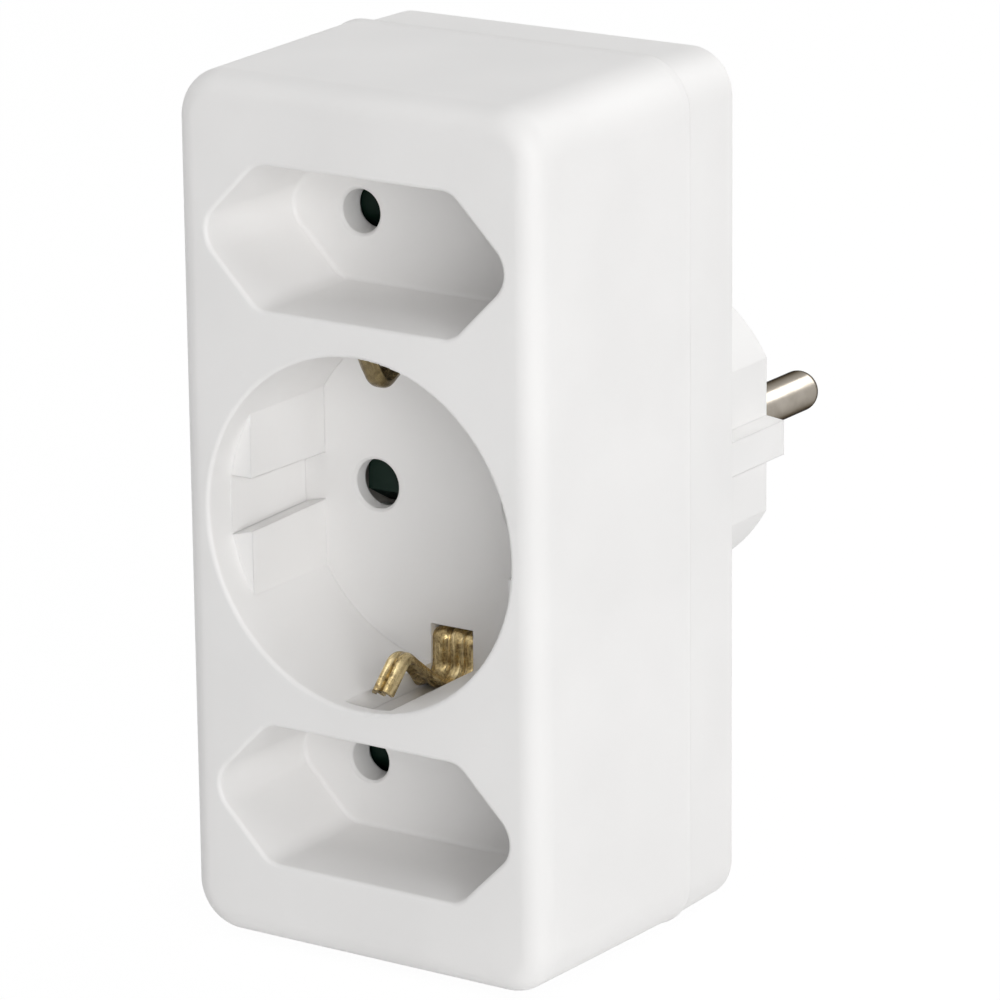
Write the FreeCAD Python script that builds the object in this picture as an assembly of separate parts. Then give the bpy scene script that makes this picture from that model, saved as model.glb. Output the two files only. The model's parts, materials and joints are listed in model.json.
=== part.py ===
import FreeCAD, Part
import math
import os

# Three-outlet mains adapter. Millimetres, +Z up. It stands on its lower end as it is shown: the front
# face looks along -Y and the plug's pins point along +Y. Every piece is drawn from the middle of the
# front face (X right, Y into the depth, Z up), and is set down on Z = 0 only when it is written.

V = FreeCAD.Vector

# Plain front face that is left round the outlets
SIDE_LAND = 4.0
OUTLET_LAND = 3.7
END_LAND = 9.7
EURO_SIDE_LAND = 3.2

# Front housing's shell, with the moulding's draft towards the front
CORNER_R = 5.5
FRONT_EDGE_R = 2.9
SHELL_DRAFT = 0.012
WALL = 2.2
FRONT_WALL = 2.6

# Thickened band along the front housing's open edge, which grips over the rear cover
BAND_LENGTH = 5.8
BAND_OUT = 0.3
BAND_EDGE = 0.3
BAND_SINK = 0.1

# Rear cover
COVER_STEP = 0.45
COVER_DRAFT = 0.01
COVER_EDGE_R = 0.6
COVER_BEVEL = 0.25
BACK_WALL = 2.0
TONGUE_LENGTH = 2.2
TONGUE_T = 1.0
TONGUE_CLEAR = 0.15

# Pins: all three outlets and the plug share the same distance between live and neutral
PIN_X = 9.5
PIN_R = 2.4
PIN_LENGTH = 19.0
PIN_TIP_R = 2.0

# Round earthed outlet in the middle
WELL_R = 19.5
WELL_DEPTH = 17.7
WELL_WALL = 1.6
WELL_FLOOR = 1.9
RIM_R = 0.5
FLOOR_EDGE_R = 0.5
WELL_HOLE_R = 2.8
FLAT_T = 2.9
FLAT_HALF_Z = 10.4
FLAT_START = 4.0
GROOVE_HALF_MOUTH = 3.0
GROOVE_HALF_FLOOR = 2.6
GROOVE_SKIN = 0.2
SIDE_RIB_HALF_Z = 6.4

# Earth slots and channels at the top and bottom of the round well
SLOT_HALF_X = 3.0
SLOT_IN = 4.8
CHANNEL_OUT = 2.0
CHANNEL_START = 1.6
CHANNEL_WALL = 1.6

# Flat six-sided outlets above and below it
EURO_SHALLOWER = 2.2
EURO_FLOOR = 1.9
EURO_HALF_Z = 7.9
EURO_SIDE_R = 3.0
EURO_END_R = 3.4
EURO_DRAFT = 0.2
EURO_HOLE_R = 2.6
HOLE_EDGE = 0.3

# Plug body behind the rear cover
PLUG_LENGTH = 19.05
PLUG_SIDE_LAND = 6.5
PLUG_FLAT_CUT = 2.3
PLUG_WALL = 2.2
PLUG_FACE_WALL = 2.2
PLUG_EDGE = 0.7
RIB_HALF_TOP = 2.0
RIB_HALF_ROOT = 2.3
RIB_SETBACK = 0.75

# Sheet brass
SHEET_T = 0.8
LEAF_T = 0.6
LEAF_LENGTH = 9.6
LEAF_TIP_GAP = 0.4
BEND_R = 1.0
RAIL_W = 7.0
RAIL_BACK_GAP = 0.9
RAIL_DEEP_HALF_Z = 6.6
RAIL_STEP_Z = 2.2
RAIL_OVERHANG = 3.5
RAIL_REST_T = 2.0
LEAF_W = 5.0
LEAF_PINCH = 1.85
LEAF_FLARE = 2.7
LEAF_PINCH_BACK = 3.4
LEAF_SHOULDER_BACK = 6.6

# Plug pins inside the plug body
PIN_ROOT_R = 3.1
PIN_ROOT_CLEAR = 0.05
PIN_TENON_R = 1.4
PIN_HEAD_R = 2.0
PIN_HEAD_T = 0.8
PIN_BOSS_WALL = 1.5
RAIL_DROP = 3.2

# Shutters that close the pin holes until both pins push together
SHUTTER_T = 4.0
SHUTTER_GAP = 0.3
SHUTTER_REACH = PIN_X + WELL_HOLE_R
SHUTTER_HALF_W = 3.3
SHUTTER_HUB_R = 4.8
SHUTTER_TOE = 0.6
POST_R = 1.5
POST_CLEAR = 0.06
STOP_T = 1.2
STOP_HEIGHT = 3.0
STOP_LENGTH = 5.7

# Torsion spring in the back of each shutter
SPRING_R = 3.1
SPRING_WIRE_R = 0.18
SPRING_WIRE_SIDES = 5
SPRING_PITCH = 0.5
SPRING_TURNS = 2.5
SPRING_CHORDS = 10
SPRING_ROOM = 0.5
SPRING_POCKET = 2.2
SPRING_LEG = 2.4
SPRING_LEG_HOLE = 1.0
SPRING_LEG_IN_HOLE = 0.8

# Contact carrier, the plate that shuts the sockets in from behind
CARRIER_T = 1.6
CARRIER_CLEAR = 0.6
CARRIER_TO_TONGUE = 1.1
CARRIER_CORNER_R = 4.0
TOWER_R = 4.4
CAGE_HALF_X = 5.0
CAGE_HALF_Z = 3.9
CAGE_WALL = 1.0
CAGE_LENGTH = 5.2
SLOT_ROOM = 0.5

# Earth path
EARTH_W = 5.0
EARTH_ARM_W = 2.9
EARTH_LEG_IN = 4.2
EARTH_BASE_BACK = 1.0
EARTH_BASE_OUT = 0.7
EARTH_TONGUE = 2.0
EARTH_RIDGE_R = 0.62
EARTH_RIDGE_X = 0.7
VALLEY_FORWARD, VALLEY_OUT = 2.4, 1.0
HUMP_Y, HUMP_IN = 7.7, 4.35
TIP_Y, TIP_IN = 4.0, 0.8
UPPER_HUMP_Y, UPPER_HUMP_IN = 6.1, 4.7
UPPER_TIP_Y, UPPER_TIP_IN = 2.8, 1.6
EARTH_BEND_R = 1.5
CLIP_SINK = 1.2
CLIP_END_BACK = 2.6
CLIP_END_TURN = 1.4
CLIP_END_DROP = 1.5
CLIP_SEAT_W = 6.4
CLIP_WEB_CLEAR = 1.4
CLIP_WEB_T = 1.0
RIVET_R = 1.2
RIVET_HEAD_R = 2.1
RIVET_HEAD_T = 0.8
RIVET_CLEAR = 0.05

# Screws
SCREW_R = 1.35
SCREW_HEAD_R = 2.6
SCREW_HEAD_T = 1.8
SCREW_HEAD_EDGE = 0.7
SCREW_CLEAR = 0.05
SCREW_LENGTH = 12.0
SCREW_ROOM = 0.25
BOSS_CLEAR = 0.2
CROSS_W = 0.6
CROSS_REACH = 1.55
CROSS_DEPTH = 0.9
BOSS_WALL = 1.8
CARRIER_SCREW_INSET = 8.0
CARRIER_SCREW_ABOVE = 1.9
COVER_SCREW_SEAT = 1.8
TUBE_WALL = 0.9

# Lengths that only make pieces meet or a cut run past a face
TINY = 1e-6
OVERLAP = 0.5
PAST = 1.0

# Places that follow from the sizes above
BODY_W = 2 * (WELL_R + SIDE_LAND)
EURO_Z = WELL_R + OUTLET_LAND + EURO_HALF_Z
EURO_REACH = BODY_W / 2 - EURO_SIDE_LAND
BODY_H = 2 * (EURO_Z + EURO_HALF_Z + END_LAND)
HALF_HEIGHT = BODY_H / 2 + BAND_OUT
FLAT_X = WELL_R - FLAT_T
GROOVE_X = WELL_R - GROOVE_SKIN
SLOT_IN_Z = WELL_R - SLOT_IN
CHANNEL_OUT_Z = WELL_R + CHANNEL_OUT
WELL_BACK = WELL_DEPTH + WELL_FLOOR
EURO_DEPTH = WELL_DEPTH - EURO_SHALLOWER
EURO_BACK = EURO_DEPTH + EURO_FLOOR
CARRIER_Y = WELL_BACK + SHUTTER_T + 2 * SHUTTER_GAP
CARRIER_BACK = CARRIER_Y + CARRIER_T
LEAF_TIP_Y = CARRIER_BACK + LEAF_TIP_GAP
RAIL_Y = LEAF_TIP_Y + LEAF_LENGTH
CAVITY_END = RAIL_Y + SHEET_T / 2 + RAIL_BACK_GAP
BODY_DEPTH = CAVITY_END + BACK_WALL
SEAM_Y = CARRIER_BACK + CARRIER_TO_TONGUE + TONGUE_LENGTH
BAND_Y = SEAM_Y - BAND_LENGTH
RAIL_DEEP_Y = CAVITY_END + RAIL_DROP
PIN_BOSS_TOP = RAIL_DEEP_Y + SHEET_T / 2
PLUG_FLAT_X = PIN_X + PLUG_SIDE_LAND
PLUG_R = PLUG_FLAT_X + PLUG_FLAT_CUT
PLUG_FACE_Y = BODY_DEPTH + PLUG_LENGTH
PIN_TIP_Y = PLUG_FACE_Y + PIN_LENGTH
CLIP_Z = PLUG_R - CLIP_SINK
EARTH_LEG_Z = WELL_R - EARTH_LEG_IN
EARTH_BASE_Z = WELL_R + EARTH_BASE_OUT
VALLEY_Y, VALLEY_Z = WELL_DEPTH - VALLEY_FORWARD, WELL_R + VALLEY_OUT
BOSS_R = SCREW_R + BOSS_WALL
COVER_BOSS_END = SEAM_Y - COVER_SCREW_SEAT / 2
COVER_SCREW_Y = SEAM_Y + COVER_SCREW_SEAT / 2
COVER_SCREW_INSET = WALL + TONGUE_CLEAR + TONGUE_T + BOSS_CLEAR + BOSS_R
COVER_SCREW_X = BODY_W / 2 - COVER_SCREW_INSET
COVER_SCREW_Z = BODY_H / 2 - COVER_SCREW_INSET
CARRIER_SCREW_X = BODY_W / 2 - CARRIER_SCREW_INSET
CARRIER_SCREW_Z = WELL_R + CARRIER_SCREW_ABOVE
CARRIER_HALF_X = BODY_W / 2 - WALL - SHELL_DRAFT * SEAM_Y - CARRIER_CLEAR
CARRIER_HALF_Z = COVER_SCREW_Z - BOSS_R - CARRIER_CLEAR
OUTLETS = {"upper": (EURO_Z, EURO_BACK), "centre": (0.0, WELL_BACK), "lower": (-EURO_Z, EURO_BACK)}
POLES = {"live": PIN_X, "neutral": -PIN_X}
CORNERS = {"upper_left": (-1, 1), "upper_right": (1, 1), "lower_left": (-1, -1), "lower_right": (1, -1)}
COVER_SCREWS = {name: (sx * COVER_SCREW_X, sz * COVER_SCREW_Z) for name, (sx, sz) in CORNERS.items()}
CARRIER_SCREWS = {name: (sx * CARRIER_SCREW_X, sz * CARRIER_SCREW_Z) for name, (sx, sz) in CORNERS.items()}


def block(x0, x1, y0, y1, z0, z1):
    """Rectangular block between the given limits."""
    return Part.makeBox(x1 - x0, y1 - y0, z1 - z0, V(x0, y0, z0))


def rod(radius, y0, y1, x=0.0, z=0.0):
    """Cylinder along Y from y0 to y1."""
    return Part.makeCylinder(radius, y1 - y0, V(x, y0, z), V(0, 1, 0))


def rounded_polygon(corners, radii, y):
    """Closed wire in the plane Y = y through (x, z) corners, each rounded with its own radius."""
    count = len(corners)
    starts, middles, ends = [], [], []
    for i in range(count):
        here = V(corners[i][0], y, corners[i][1])
        before = V(corners[i - 1][0], y, corners[i - 1][1])
        after = V(corners[(i + 1) % count][0], y, corners[(i + 1) % count][1])
        towards_before = (before - here).normalize()
        towards_after = (after - here).normalize()
        half = towards_before.getAngle(towards_after) / 2
        reach = radii[i] / math.tan(half)
        bisector = (towards_before + towards_after).normalize()
        centre = here + bisector * (radii[i] / math.sin(half))
        starts.append(here + towards_before * reach)
        middles.append(centre - bisector * radii[i])
        ends.append(here + towards_after * reach)
    edges = []
    for i in range(count):
        edges.append(Part.Arc(starts[i], middles[i], ends[i]).toShape())
        edges.append(Part.LineSegment(ends[i], starts[(i + 1) % count]).toShape())
    return Part.Wire(edges)


def rectangle(half_x, half_z, z=0.0):
    """Corners of a rectangle about (0, z)."""
    return [(half_x, z - half_z), (half_x, z + half_z), (-half_x, z + half_z), (-half_x, z - half_z)]


def rounded_rectangle(half_x, half_z, radius, y):
    """Rectangle with rounded corners in the plane Y = y."""
    return rounded_polygon(rectangle(half_x, half_z), [radius] * 4, y)


def plate(wire, thickness):
    """Flat plate of the wire's outline, from its plane along +Y."""
    return Part.Face(wire).extrude(V(0, thickness, 0))


def tapered(front, back, y0, y1):
    """Block with flat drafted sides, from the corners front in the plane Y = y0 to back in Y = y1."""
    near = [V(x, y0, z) for x, z in front]
    far = [V(x, y1, z) for x, z in back]
    faces = [Part.Face(Part.makePolygon(near + near[:1])), Part.Face(Part.makePolygon(far + far[:1]))]
    for i in range(len(near)):
        j = (i + 1) % len(near)
        faces.append(Part.Face(Part.makePolygon([near[i], near[j], far[j], far[i], near[i]])))
    solid = Part.Solid(Part.Shell(faces))
    if solid.Volume < 0:
        solid.reverse()
    return solid


def with_round_sides(solid, corners, radii):
    """The drafted block with the long edge that starts at each corner rounded by that corner's radius."""
    start_y = solid.BoundBox.YMin
    for radius in sorted(set(radii)):
        spots = [V(x, start_y, z) for (x, z), r in zip(corners, radii) if r == radius]
        long_edges = []
        for edge in solid.Edges:
            ends = [vertex.Point for vertex in edge.Vertexes]
            runs_back = abs(ends[0].y - ends[-1].y) > TINY
            if runs_back and any(min((end - spot).Length for end in ends) < TINY for spot in spots):
                long_edges.append(edge)
        solid = solid.makeFillet(radius, long_edges)
    return solid


def edges_at(shape, y):
    """Edges that lie wholly in the plane Y = y."""
    return [e for e in shape.Edges if all(abs(p.y - y) < TINY for p in e.discretize(3))]


def ribbon(points, thickness, bend_r, width, plane):
    """Bent sheet strip along a path of (a, b) points, with every bend at bend_r on its middle line.

    In plane "YZ" the path runs in Y and Z and the strip is width wide along X; in plane "XY" it runs
    in X and Y and is width wide along Z. Each side of the strip is the path moved by half the
    thickness: straight runs stay straight, and a bend's arc keeps its centre.
    """
    runs = [V(p[0], p[1], 0) for p in points]
    half = thickness / 2
    left, right = [], []
    start = runs[0]
    for i in range(1, len(runs)):
        along = (runs[i] - runs[i - 1]).normalize()
        side = V(-along.y, along.x, 0)
        if i == len(runs) - 1:
            left.append(("line", start + side * half, runs[i] + side * half))
            right.append(("line", start - side * half, runs[i] - side * half))
            break
        onward = (runs[i + 1] - runs[i]).normalize()
        turn = along.getAngle(onward)
        sense = 1 if along.cross(onward).z > 0 else -1
        reach = bend_r * math.tan(turn / 2)
        into = runs[i] - along * reach
        out = runs[i] + onward * reach
        centre = into + side * (sense * bend_r)
        middle = centre + (runs[i] - centre).normalize() * bend_r
        next_side = V(-onward.y, onward.x, 0)
        for rail, sign in ((left, 1), (right, -1)):
            a = into + side * (sign * half)
            b = out + next_side * (sign * half)
            m = centre + (middle - centre).normalize() * (bend_r - sign * sense * half)
            rail.append(("line", start + side * (sign * half), a))
            rail.append(("arc", a, m, b))
        start = out

    def place(p):
        if plane == "YZ":
            return V(-width / 2, p.x, p.y)
        return V(p.x, p.y, -width / 2)

    edges = []
    for piece in left + right:
        spots = [place(p) for p in piece[1:]]
        if piece[0] == "line":
            edges.append(Part.LineSegment(*spots).toShape())
        else:
            edges.append(Part.Arc(*spots).toShape())
    edges.append(Part.LineSegment(place(left[0][1]), place(right[0][1])).toShape())
    edges.append(Part.LineSegment(place(left[-1][-1]), place(right[-1][-1])).toShape())
    outline = Part.Wire(Part.__sortEdges__(edges))
    across = V(width, 0, 0) if plane == "YZ" else V(0, 0, width)
    return Part.Face(outline).extrude(across)


def mirrored_z(shape):
    """The same piece upside down."""
    return shape.mirror(V(0, 0, 0), V(0, 0, 1))


def turned_half(shape, z):
    """The piece turned half round about the Y axis at height z."""
    turned = shape.copy()
    turned.rotate(V(0, 0, z), V(0, 1, 0), 180)
    return turned


# Front housing

def shell_corners(y, out):
    """Corners of the front housing's drafted outline at depth y, moved outwards by out."""
    draft = SHELL_DRAFT * (SEAM_Y - y)
    return rectangle(BODY_W / 2 - draft + out, BODY_H / 2 - draft + out)


def shell_block(y0, y1, out):
    """The front housing's drafted outline from y0 to y1, with its four long edges rounded."""
    corners = shell_corners(y0, out)
    block_of_it = tapered(corners, shell_corners(y1, out), y0, y1)
    return with_round_sides(block_of_it, corners, [CORNER_R + out] * 4)


def band():
    """Thickened band round the open edge, with its front edge sloped down into the shell."""
    outline = rounded_rectangle(BODY_W / 2 + BAND_OUT, BODY_H / 2 + BAND_OUT, CORNER_R + BAND_OUT, BAND_Y)
    ring = plate(outline, BAND_LENGTH)
    ring = ring.makeChamfer(BAND_OUT + BAND_SINK, edges_at(ring, BAND_Y))
    return ring.makeChamfer(BAND_EDGE, edges_at(ring, SEAM_Y))


def euro_corners(out, z):
    """Corners of a six-sided outlet: level sides at the half height and ends at 45 degrees."""
    half = EURO_HALF_Z + out
    reach = EURO_REACH + out * math.sqrt(2)
    level = reach - half
    right = [(level, z - half), (reach, z), (level, z + half)]
    return right + [(-level, z + half), (-reach, z), (-level, z - half)]


def euro_radii(out):
    """Corner radii of a six-sided outlet, in the order of its corners."""
    side, end = EURO_SIDE_R + out, EURO_END_R + out
    return [side, end, side] * 2


def euro_outline(y, out, z):
    """Six-sided outlet's outline in the plane Y = y, moved outwards by out."""
    return rounded_polygon(euro_corners(out, z), euro_radii(out), y)


def round_well():
    """Hollow of the round outlet: a cup with a rounded rim, two side flats and their guide grooves."""
    rim = RIM_R * math.sqrt(0.5)
    profile = [
        Part.LineSegment(V(0, -PAST, 0), V(WELL_R + RIM_R, -PAST, 0)),
        Part.LineSegment(V(WELL_R + RIM_R, -PAST, 0), V(WELL_R + RIM_R, 0, 0)),
        Part.Arc(V(WELL_R + RIM_R, 0, 0), V(WELL_R + RIM_R - rim, RIM_R - rim, 0), V(WELL_R, RIM_R, 0)),
        Part.LineSegment(V(WELL_R, RIM_R, 0), V(WELL_R, WELL_DEPTH, 0)),
        Part.LineSegment(V(WELL_R, WELL_DEPTH, 0), V(0, WELL_DEPTH, 0)),
        Part.LineSegment(V(0, WELL_DEPTH, 0), V(0, -PAST, 0)),
    ]
    cup = Part.Face(Part.Wire([p.toShape() for p in profile])).revolve(V(0, 0, 0), V(0, 1, 0), 360)
    pad = block(FLAT_X, WELL_R + PAST, FLAT_START, WELL_DEPTH + PAST, -FLAT_HALF_Z, FLAT_HALF_Z)
    mouth = rectangle(GROOVE_X, GROOVE_HALF_MOUTH)
    floor = rectangle(GROOVE_X, GROOVE_HALF_FLOOR)
    pad = pad.cut(tapered(mouth, floor, FLAT_START - PAST, WELL_DEPTH + 2 * PAST))
    return cup.cut(pad).cut(turned_half(pad, 0))


def euro_well(z):
    """Hollow of a six-sided outlet, a little narrower at its floor."""
    mouth = euro_corners(0.0, z)
    well = tapered(mouth, euro_corners(-EURO_DRAFT, z), 0.0, EURO_DEPTH)
    well = with_round_sides(well, mouth, euro_radii(0.0))
    return well.makeFillet(FLOOR_EDGE_R, edges_at(well, EURO_DEPTH))


def earth_channel():
    """Room for the lower earth arm: a slot through the well floor that runs forward as a channel."""
    channel = block(-SLOT_HALF_X, SLOT_HALF_X, CHANNEL_START, WELL_DEPTH, -CHANNEL_OUT_Z, -SLOT_IN_Z)
    slot = block(-SLOT_HALF_X, SLOT_HALF_X, WELL_DEPTH - PAST, WELL_BACK + PAST, -CHANNEL_OUT_Z, -SLOT_IN_Z)
    return channel.fuse(slot)


def shutter_stop(z, back):
    """Rib behind the floor that the left wing of a shutter rests on."""
    top = z - SHUTTER_HALF_W - SHUTTER_GAP
    return block(-PIN_X - STOP_LENGTH / 2, -PIN_X + STOP_LENGTH / 2, back - OVERLAP, back + STOP_HEIGHT,
                 top - STOP_T, top)


def pin_hole(radius, x, z, floor_y, back):
    """Pin hole through an outlet's floor, with its front edge broken."""
    hole = rod(radius, floor_y - PAST, back + PAST, x, z)
    edge = Part.makeCone(radius + HOLE_EDGE, radius, HOLE_EDGE, V(x, floor_y, z), V(0, 1, 0))
    return hole.fuse(edge)


def front_housing():
    """Deep shell that carries the three outlets, moulded in one piece."""
    shell = shell_block(0.0, BAND_Y + BAND_LENGTH / 2, 0.0)
    shell = shell.makeFillet(FRONT_EDGE_R, edges_at(shell, 0.0))
    body = shell.fuse(band()).cut(shell_block(FRONT_WALL, SEAM_Y + PAST, -WALL))

    reach = BODY_W / 2 - WALL / 2
    walls = [rod(WELL_R + WELL_WALL, PAST, WELL_BACK)]
    walls.append(block(-reach, reach, PAST, WELL_BACK, -SIDE_RIB_HALF_Z, SIDE_RIB_HALF_Z))
    half = SLOT_HALF_X + CHANNEL_WALL
    outside = CHANNEL_OUT_Z + CHANNEL_WALL
    walls.append(block(-half, half, PAST, WELL_BACK, -outside, outside))
    for z in (EURO_Z, -EURO_Z):
        walls.append(plate(euro_outline(PAST, WELL_WALL, z), EURO_BACK - PAST))
        walls.append(block(-reach, reach, PAST, EURO_BACK, z - CHANNEL_WALL, z + CHANNEL_WALL))
    for x, z in COVER_SCREWS.values():
        walls.append(rod(BOSS_R, PAST, COVER_BOSS_END, x, z))
    for x, z in CARRIER_SCREWS.values():
        walls.append(rod(BOSS_R, PAST, CARRIER_Y, x, z))
    body = body.fuse(walls).removeSplitter()

    wells = [round_well(), euro_well(EURO_Z), euro_well(-EURO_Z)]
    body = body.cut(wells)
    body = body.makeFillet(RIM_R, [e for e in edges_at(body, 0.0) if inside_euro(e)])

    channel = earth_channel()
    cuts = [channel, mirrored_z(channel)]
    for x in POLES.values():
        cuts.append(pin_hole(WELL_HOLE_R, x, 0.0, WELL_DEPTH, WELL_BACK))
        for z in (EURO_Z, -EURO_Z):
            cuts.append(pin_hole(EURO_HOLE_R, x, z, EURO_DEPTH, EURO_BACK))
    pilot = SCREW_R + SCREW_CLEAR
    for x, z in COVER_SCREWS.values():
        cuts.append(rod(pilot, COVER_BOSS_END - SCREW_LENGTH, COVER_BOSS_END + PAST, x, z))
    for x, z in CARRIER_SCREWS.values():
        cuts.append(rod(pilot, CARRIER_Y - SCREW_LENGTH + SCREW_ROOM, CARRIER_Y + PAST, x, z))
    body = body.cut(cuts)

    adds = []
    for z, back in OUTLETS.values():
        adds.append(rod(POST_R, back - OVERLAP, back + SHUTTER_T + 2 * SHUTTER_GAP, 0.0, z))
        stop = shutter_stop(z, back)
        adds.append(stop)
        adds.append(turned_half(stop, z))
    return body.fuse(adds).removeSplitter()


def inside_euro(edge):
    """True for a rim edge of one of the six-sided outlets."""
    centre = edge.BoundBox.Center
    return abs(abs(centre.z) - EURO_Z) < EURO_HALF_Z + PAST and abs(centre.x) < EURO_REACH


# Rear cover with the plug body

def cover_corners(y):
    """Corners of the rear cover's drafted outline at depth y."""
    step = COVER_STEP + COVER_DRAFT * (y - SEAM_Y)
    return rectangle(BODY_W / 2 - step, BODY_H / 2 - step)


def cover_block():
    """Outside of the tray: drafted, with round corners and a broken edge at the front and back."""
    corners = cover_corners(SEAM_Y)
    tray = tapered(corners, cover_corners(BODY_DEPTH), SEAM_Y, BODY_DEPTH)
    tray = with_round_sides(tray, corners, [CORNER_R - COVER_STEP] * 4)
    tray = tray.makeFillet(COVER_EDGE_R, edges_at(tray, BODY_DEPTH))
    return tray.makeChamfer(COVER_BEVEL, edges_at(tray, SEAM_Y))


def flatted_disc(radius, flat_x, y0, y1):
    """Disc along Y with a flat on each side."""
    return rod(radius, y0, y1).common(block(-flat_x, flat_x, y0, y1, -radius, radius))


def plug_body():
    """Outside of the plug: a flatted disc with a guide rib along each flat."""
    plug = flatted_disc(PLUG_R, PLUG_FLAT_X, CAVITY_END, PLUG_FACE_Y)
    plug = plug.makeChamfer(PLUG_EDGE, edges_at(plug, PLUG_FACE_Y))
    y0, y1 = CAVITY_END, PLUG_FACE_Y - RIB_SETBACK
    root_x = PLUG_FLAT_X - OVERLAP
    spots = [V(root_x, y0, -RIB_HALF_ROOT), V(PLUG_R, y0, -RIB_HALF_TOP),
             V(PLUG_R, y0, RIB_HALF_TOP), V(root_x, y0, RIB_HALF_ROOT)]
    rib = Part.Face(Part.makePolygon(spots + spots[:1])).extrude(V(0, y1 - y0, 0))
    return plug.fuse([rib, turned_half(rib, 0)])


def rear_cover():
    """Shallow tray that shuts the housing from behind, moulded in one piece with the plug body."""
    inset = COVER_STEP + WALL
    cavity = plate(rounded_rectangle(BODY_W / 2 - inset, BODY_H / 2 - inset, CORNER_R - inset, SEAM_Y - PAST),
                   CAVITY_END - SEAM_Y + PAST)
    hollow = flatted_disc(PLUG_R - PLUG_WALL, PLUG_FLAT_X - PLUG_WALL,
                          CAVITY_END - PAST, PLUG_FACE_Y - PLUG_FACE_WALL)
    body = cover_block().fuse(plug_body()).cut([cavity, hollow])

    seat = CLIP_Z - SHEET_T / 2
    floor = seat - PLUG_WALL
    half = CLIP_SEAT_W / 2
    clip_floor = block(-half - CLIP_WEB_T, half + CLIP_WEB_T,
                       CAVITY_END, PLUG_FACE_Y - PLUG_FACE_WALL, floor, seat)
    adds = [tongue(), clip_floor, mirrored_z(clip_floor)]
    for side in (1, -1):
        web_x = side * (EARTH_W / 2 + CLIP_WEB_CLEAR)
        adds.append(block(min(web_x, web_x + side * CLIP_WEB_T), max(web_x, web_x + side * CLIP_WEB_T),
                          CARRIER_BACK + CAGE_LENGTH + CARRIER_CLEAR, PLUG_FACE_Y - PAST, -floor, floor))
    middle = (EURO_Z + PLUG_R) / 2
    rest = RAIL_REST_T / 2
    for x in POLES.values():
        adds.append(rod(PIN_ROOT_R + PIN_BOSS_WALL, PIN_BOSS_TOP, PLUG_FACE_Y - PAST, x))
        for z in (EURO_Z, middle, -middle, -EURO_Z):
            adds.append(block(x - RAIL_W / 2, x + RAIL_W / 2, RAIL_Y + SHEET_T / 2, CAVITY_END + OVERLAP,
                              z - rest, z + rest))
    sink_r = SCREW_HEAD_R + SCREW_ROOM
    for x, z in COVER_SCREWS.values():
        adds.append(rod(sink_r + TUBE_WALL, COVER_BOSS_END, BODY_DEPTH - BACK_WALL / 2, x, z))
    body = body.fuse(adds).removeSplitter()

    cuts = []
    for x in POLES.values():
        cuts.append(rod(PIN_ROOT_R + PIN_ROOT_CLEAR, PIN_BOSS_TOP - PAST, PLUG_FACE_Y + PAST, x))
    for x, z in COVER_SCREWS.values():
        cuts.append(rod(SCREW_R + SCREW_ROOM, COVER_BOSS_END - PAST, BODY_DEPTH + PAST, x, z))
        cuts.append(rod(sink_r, COVER_SCREW_Y, BODY_DEPTH + PAST, x, z))
    groove = block(-half, half, BODY_DEPTH, PLUG_FACE_Y + PAST, seat, PLUG_R + PAST)
    slot_top = CLIP_Z + (SHEET_T + SLOT_ROOM) / 2
    through = block(-half, half, CAVITY_END - PAST, BODY_DEPTH + TINY, seat, slot_top)
    end_room = block(-half, half, PLUG_FACE_Y - CLIP_END_BACK - SLOT_ROOM, PLUG_FACE_Y + PAST,
                     seat - CLIP_END_DROP, seat + PAST)
    for cut in (groove, through, end_room):
        cuts.append(cut)
        cuts.append(mirrored_z(cut))
    return body.cut(cuts).removeSplitter()


def tongue():
    """Ring on the rear cover that locates inside the front housing's open edge."""
    y0, y1 = SEAM_Y - TONGUE_LENGTH, SEAM_Y + PAST
    gap = WALL + TONGUE_CLEAR
    draft = SHELL_DRAFT * TONGUE_LENGTH
    outline = rounded_rectangle(BODY_W / 2 - draft - gap, BODY_H / 2 - draft - gap, CORNER_R - gap, y0)
    inset = gap + TONGUE_T
    hole = rounded_rectangle(BODY_W / 2 - inset, BODY_H / 2 - inset, CORNER_R - inset, y0 - PAST)
    return plate(outline, y1 - y0).cut(plate(hole, y1 - y0 + 2 * PAST))


# Contact carrier

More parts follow.
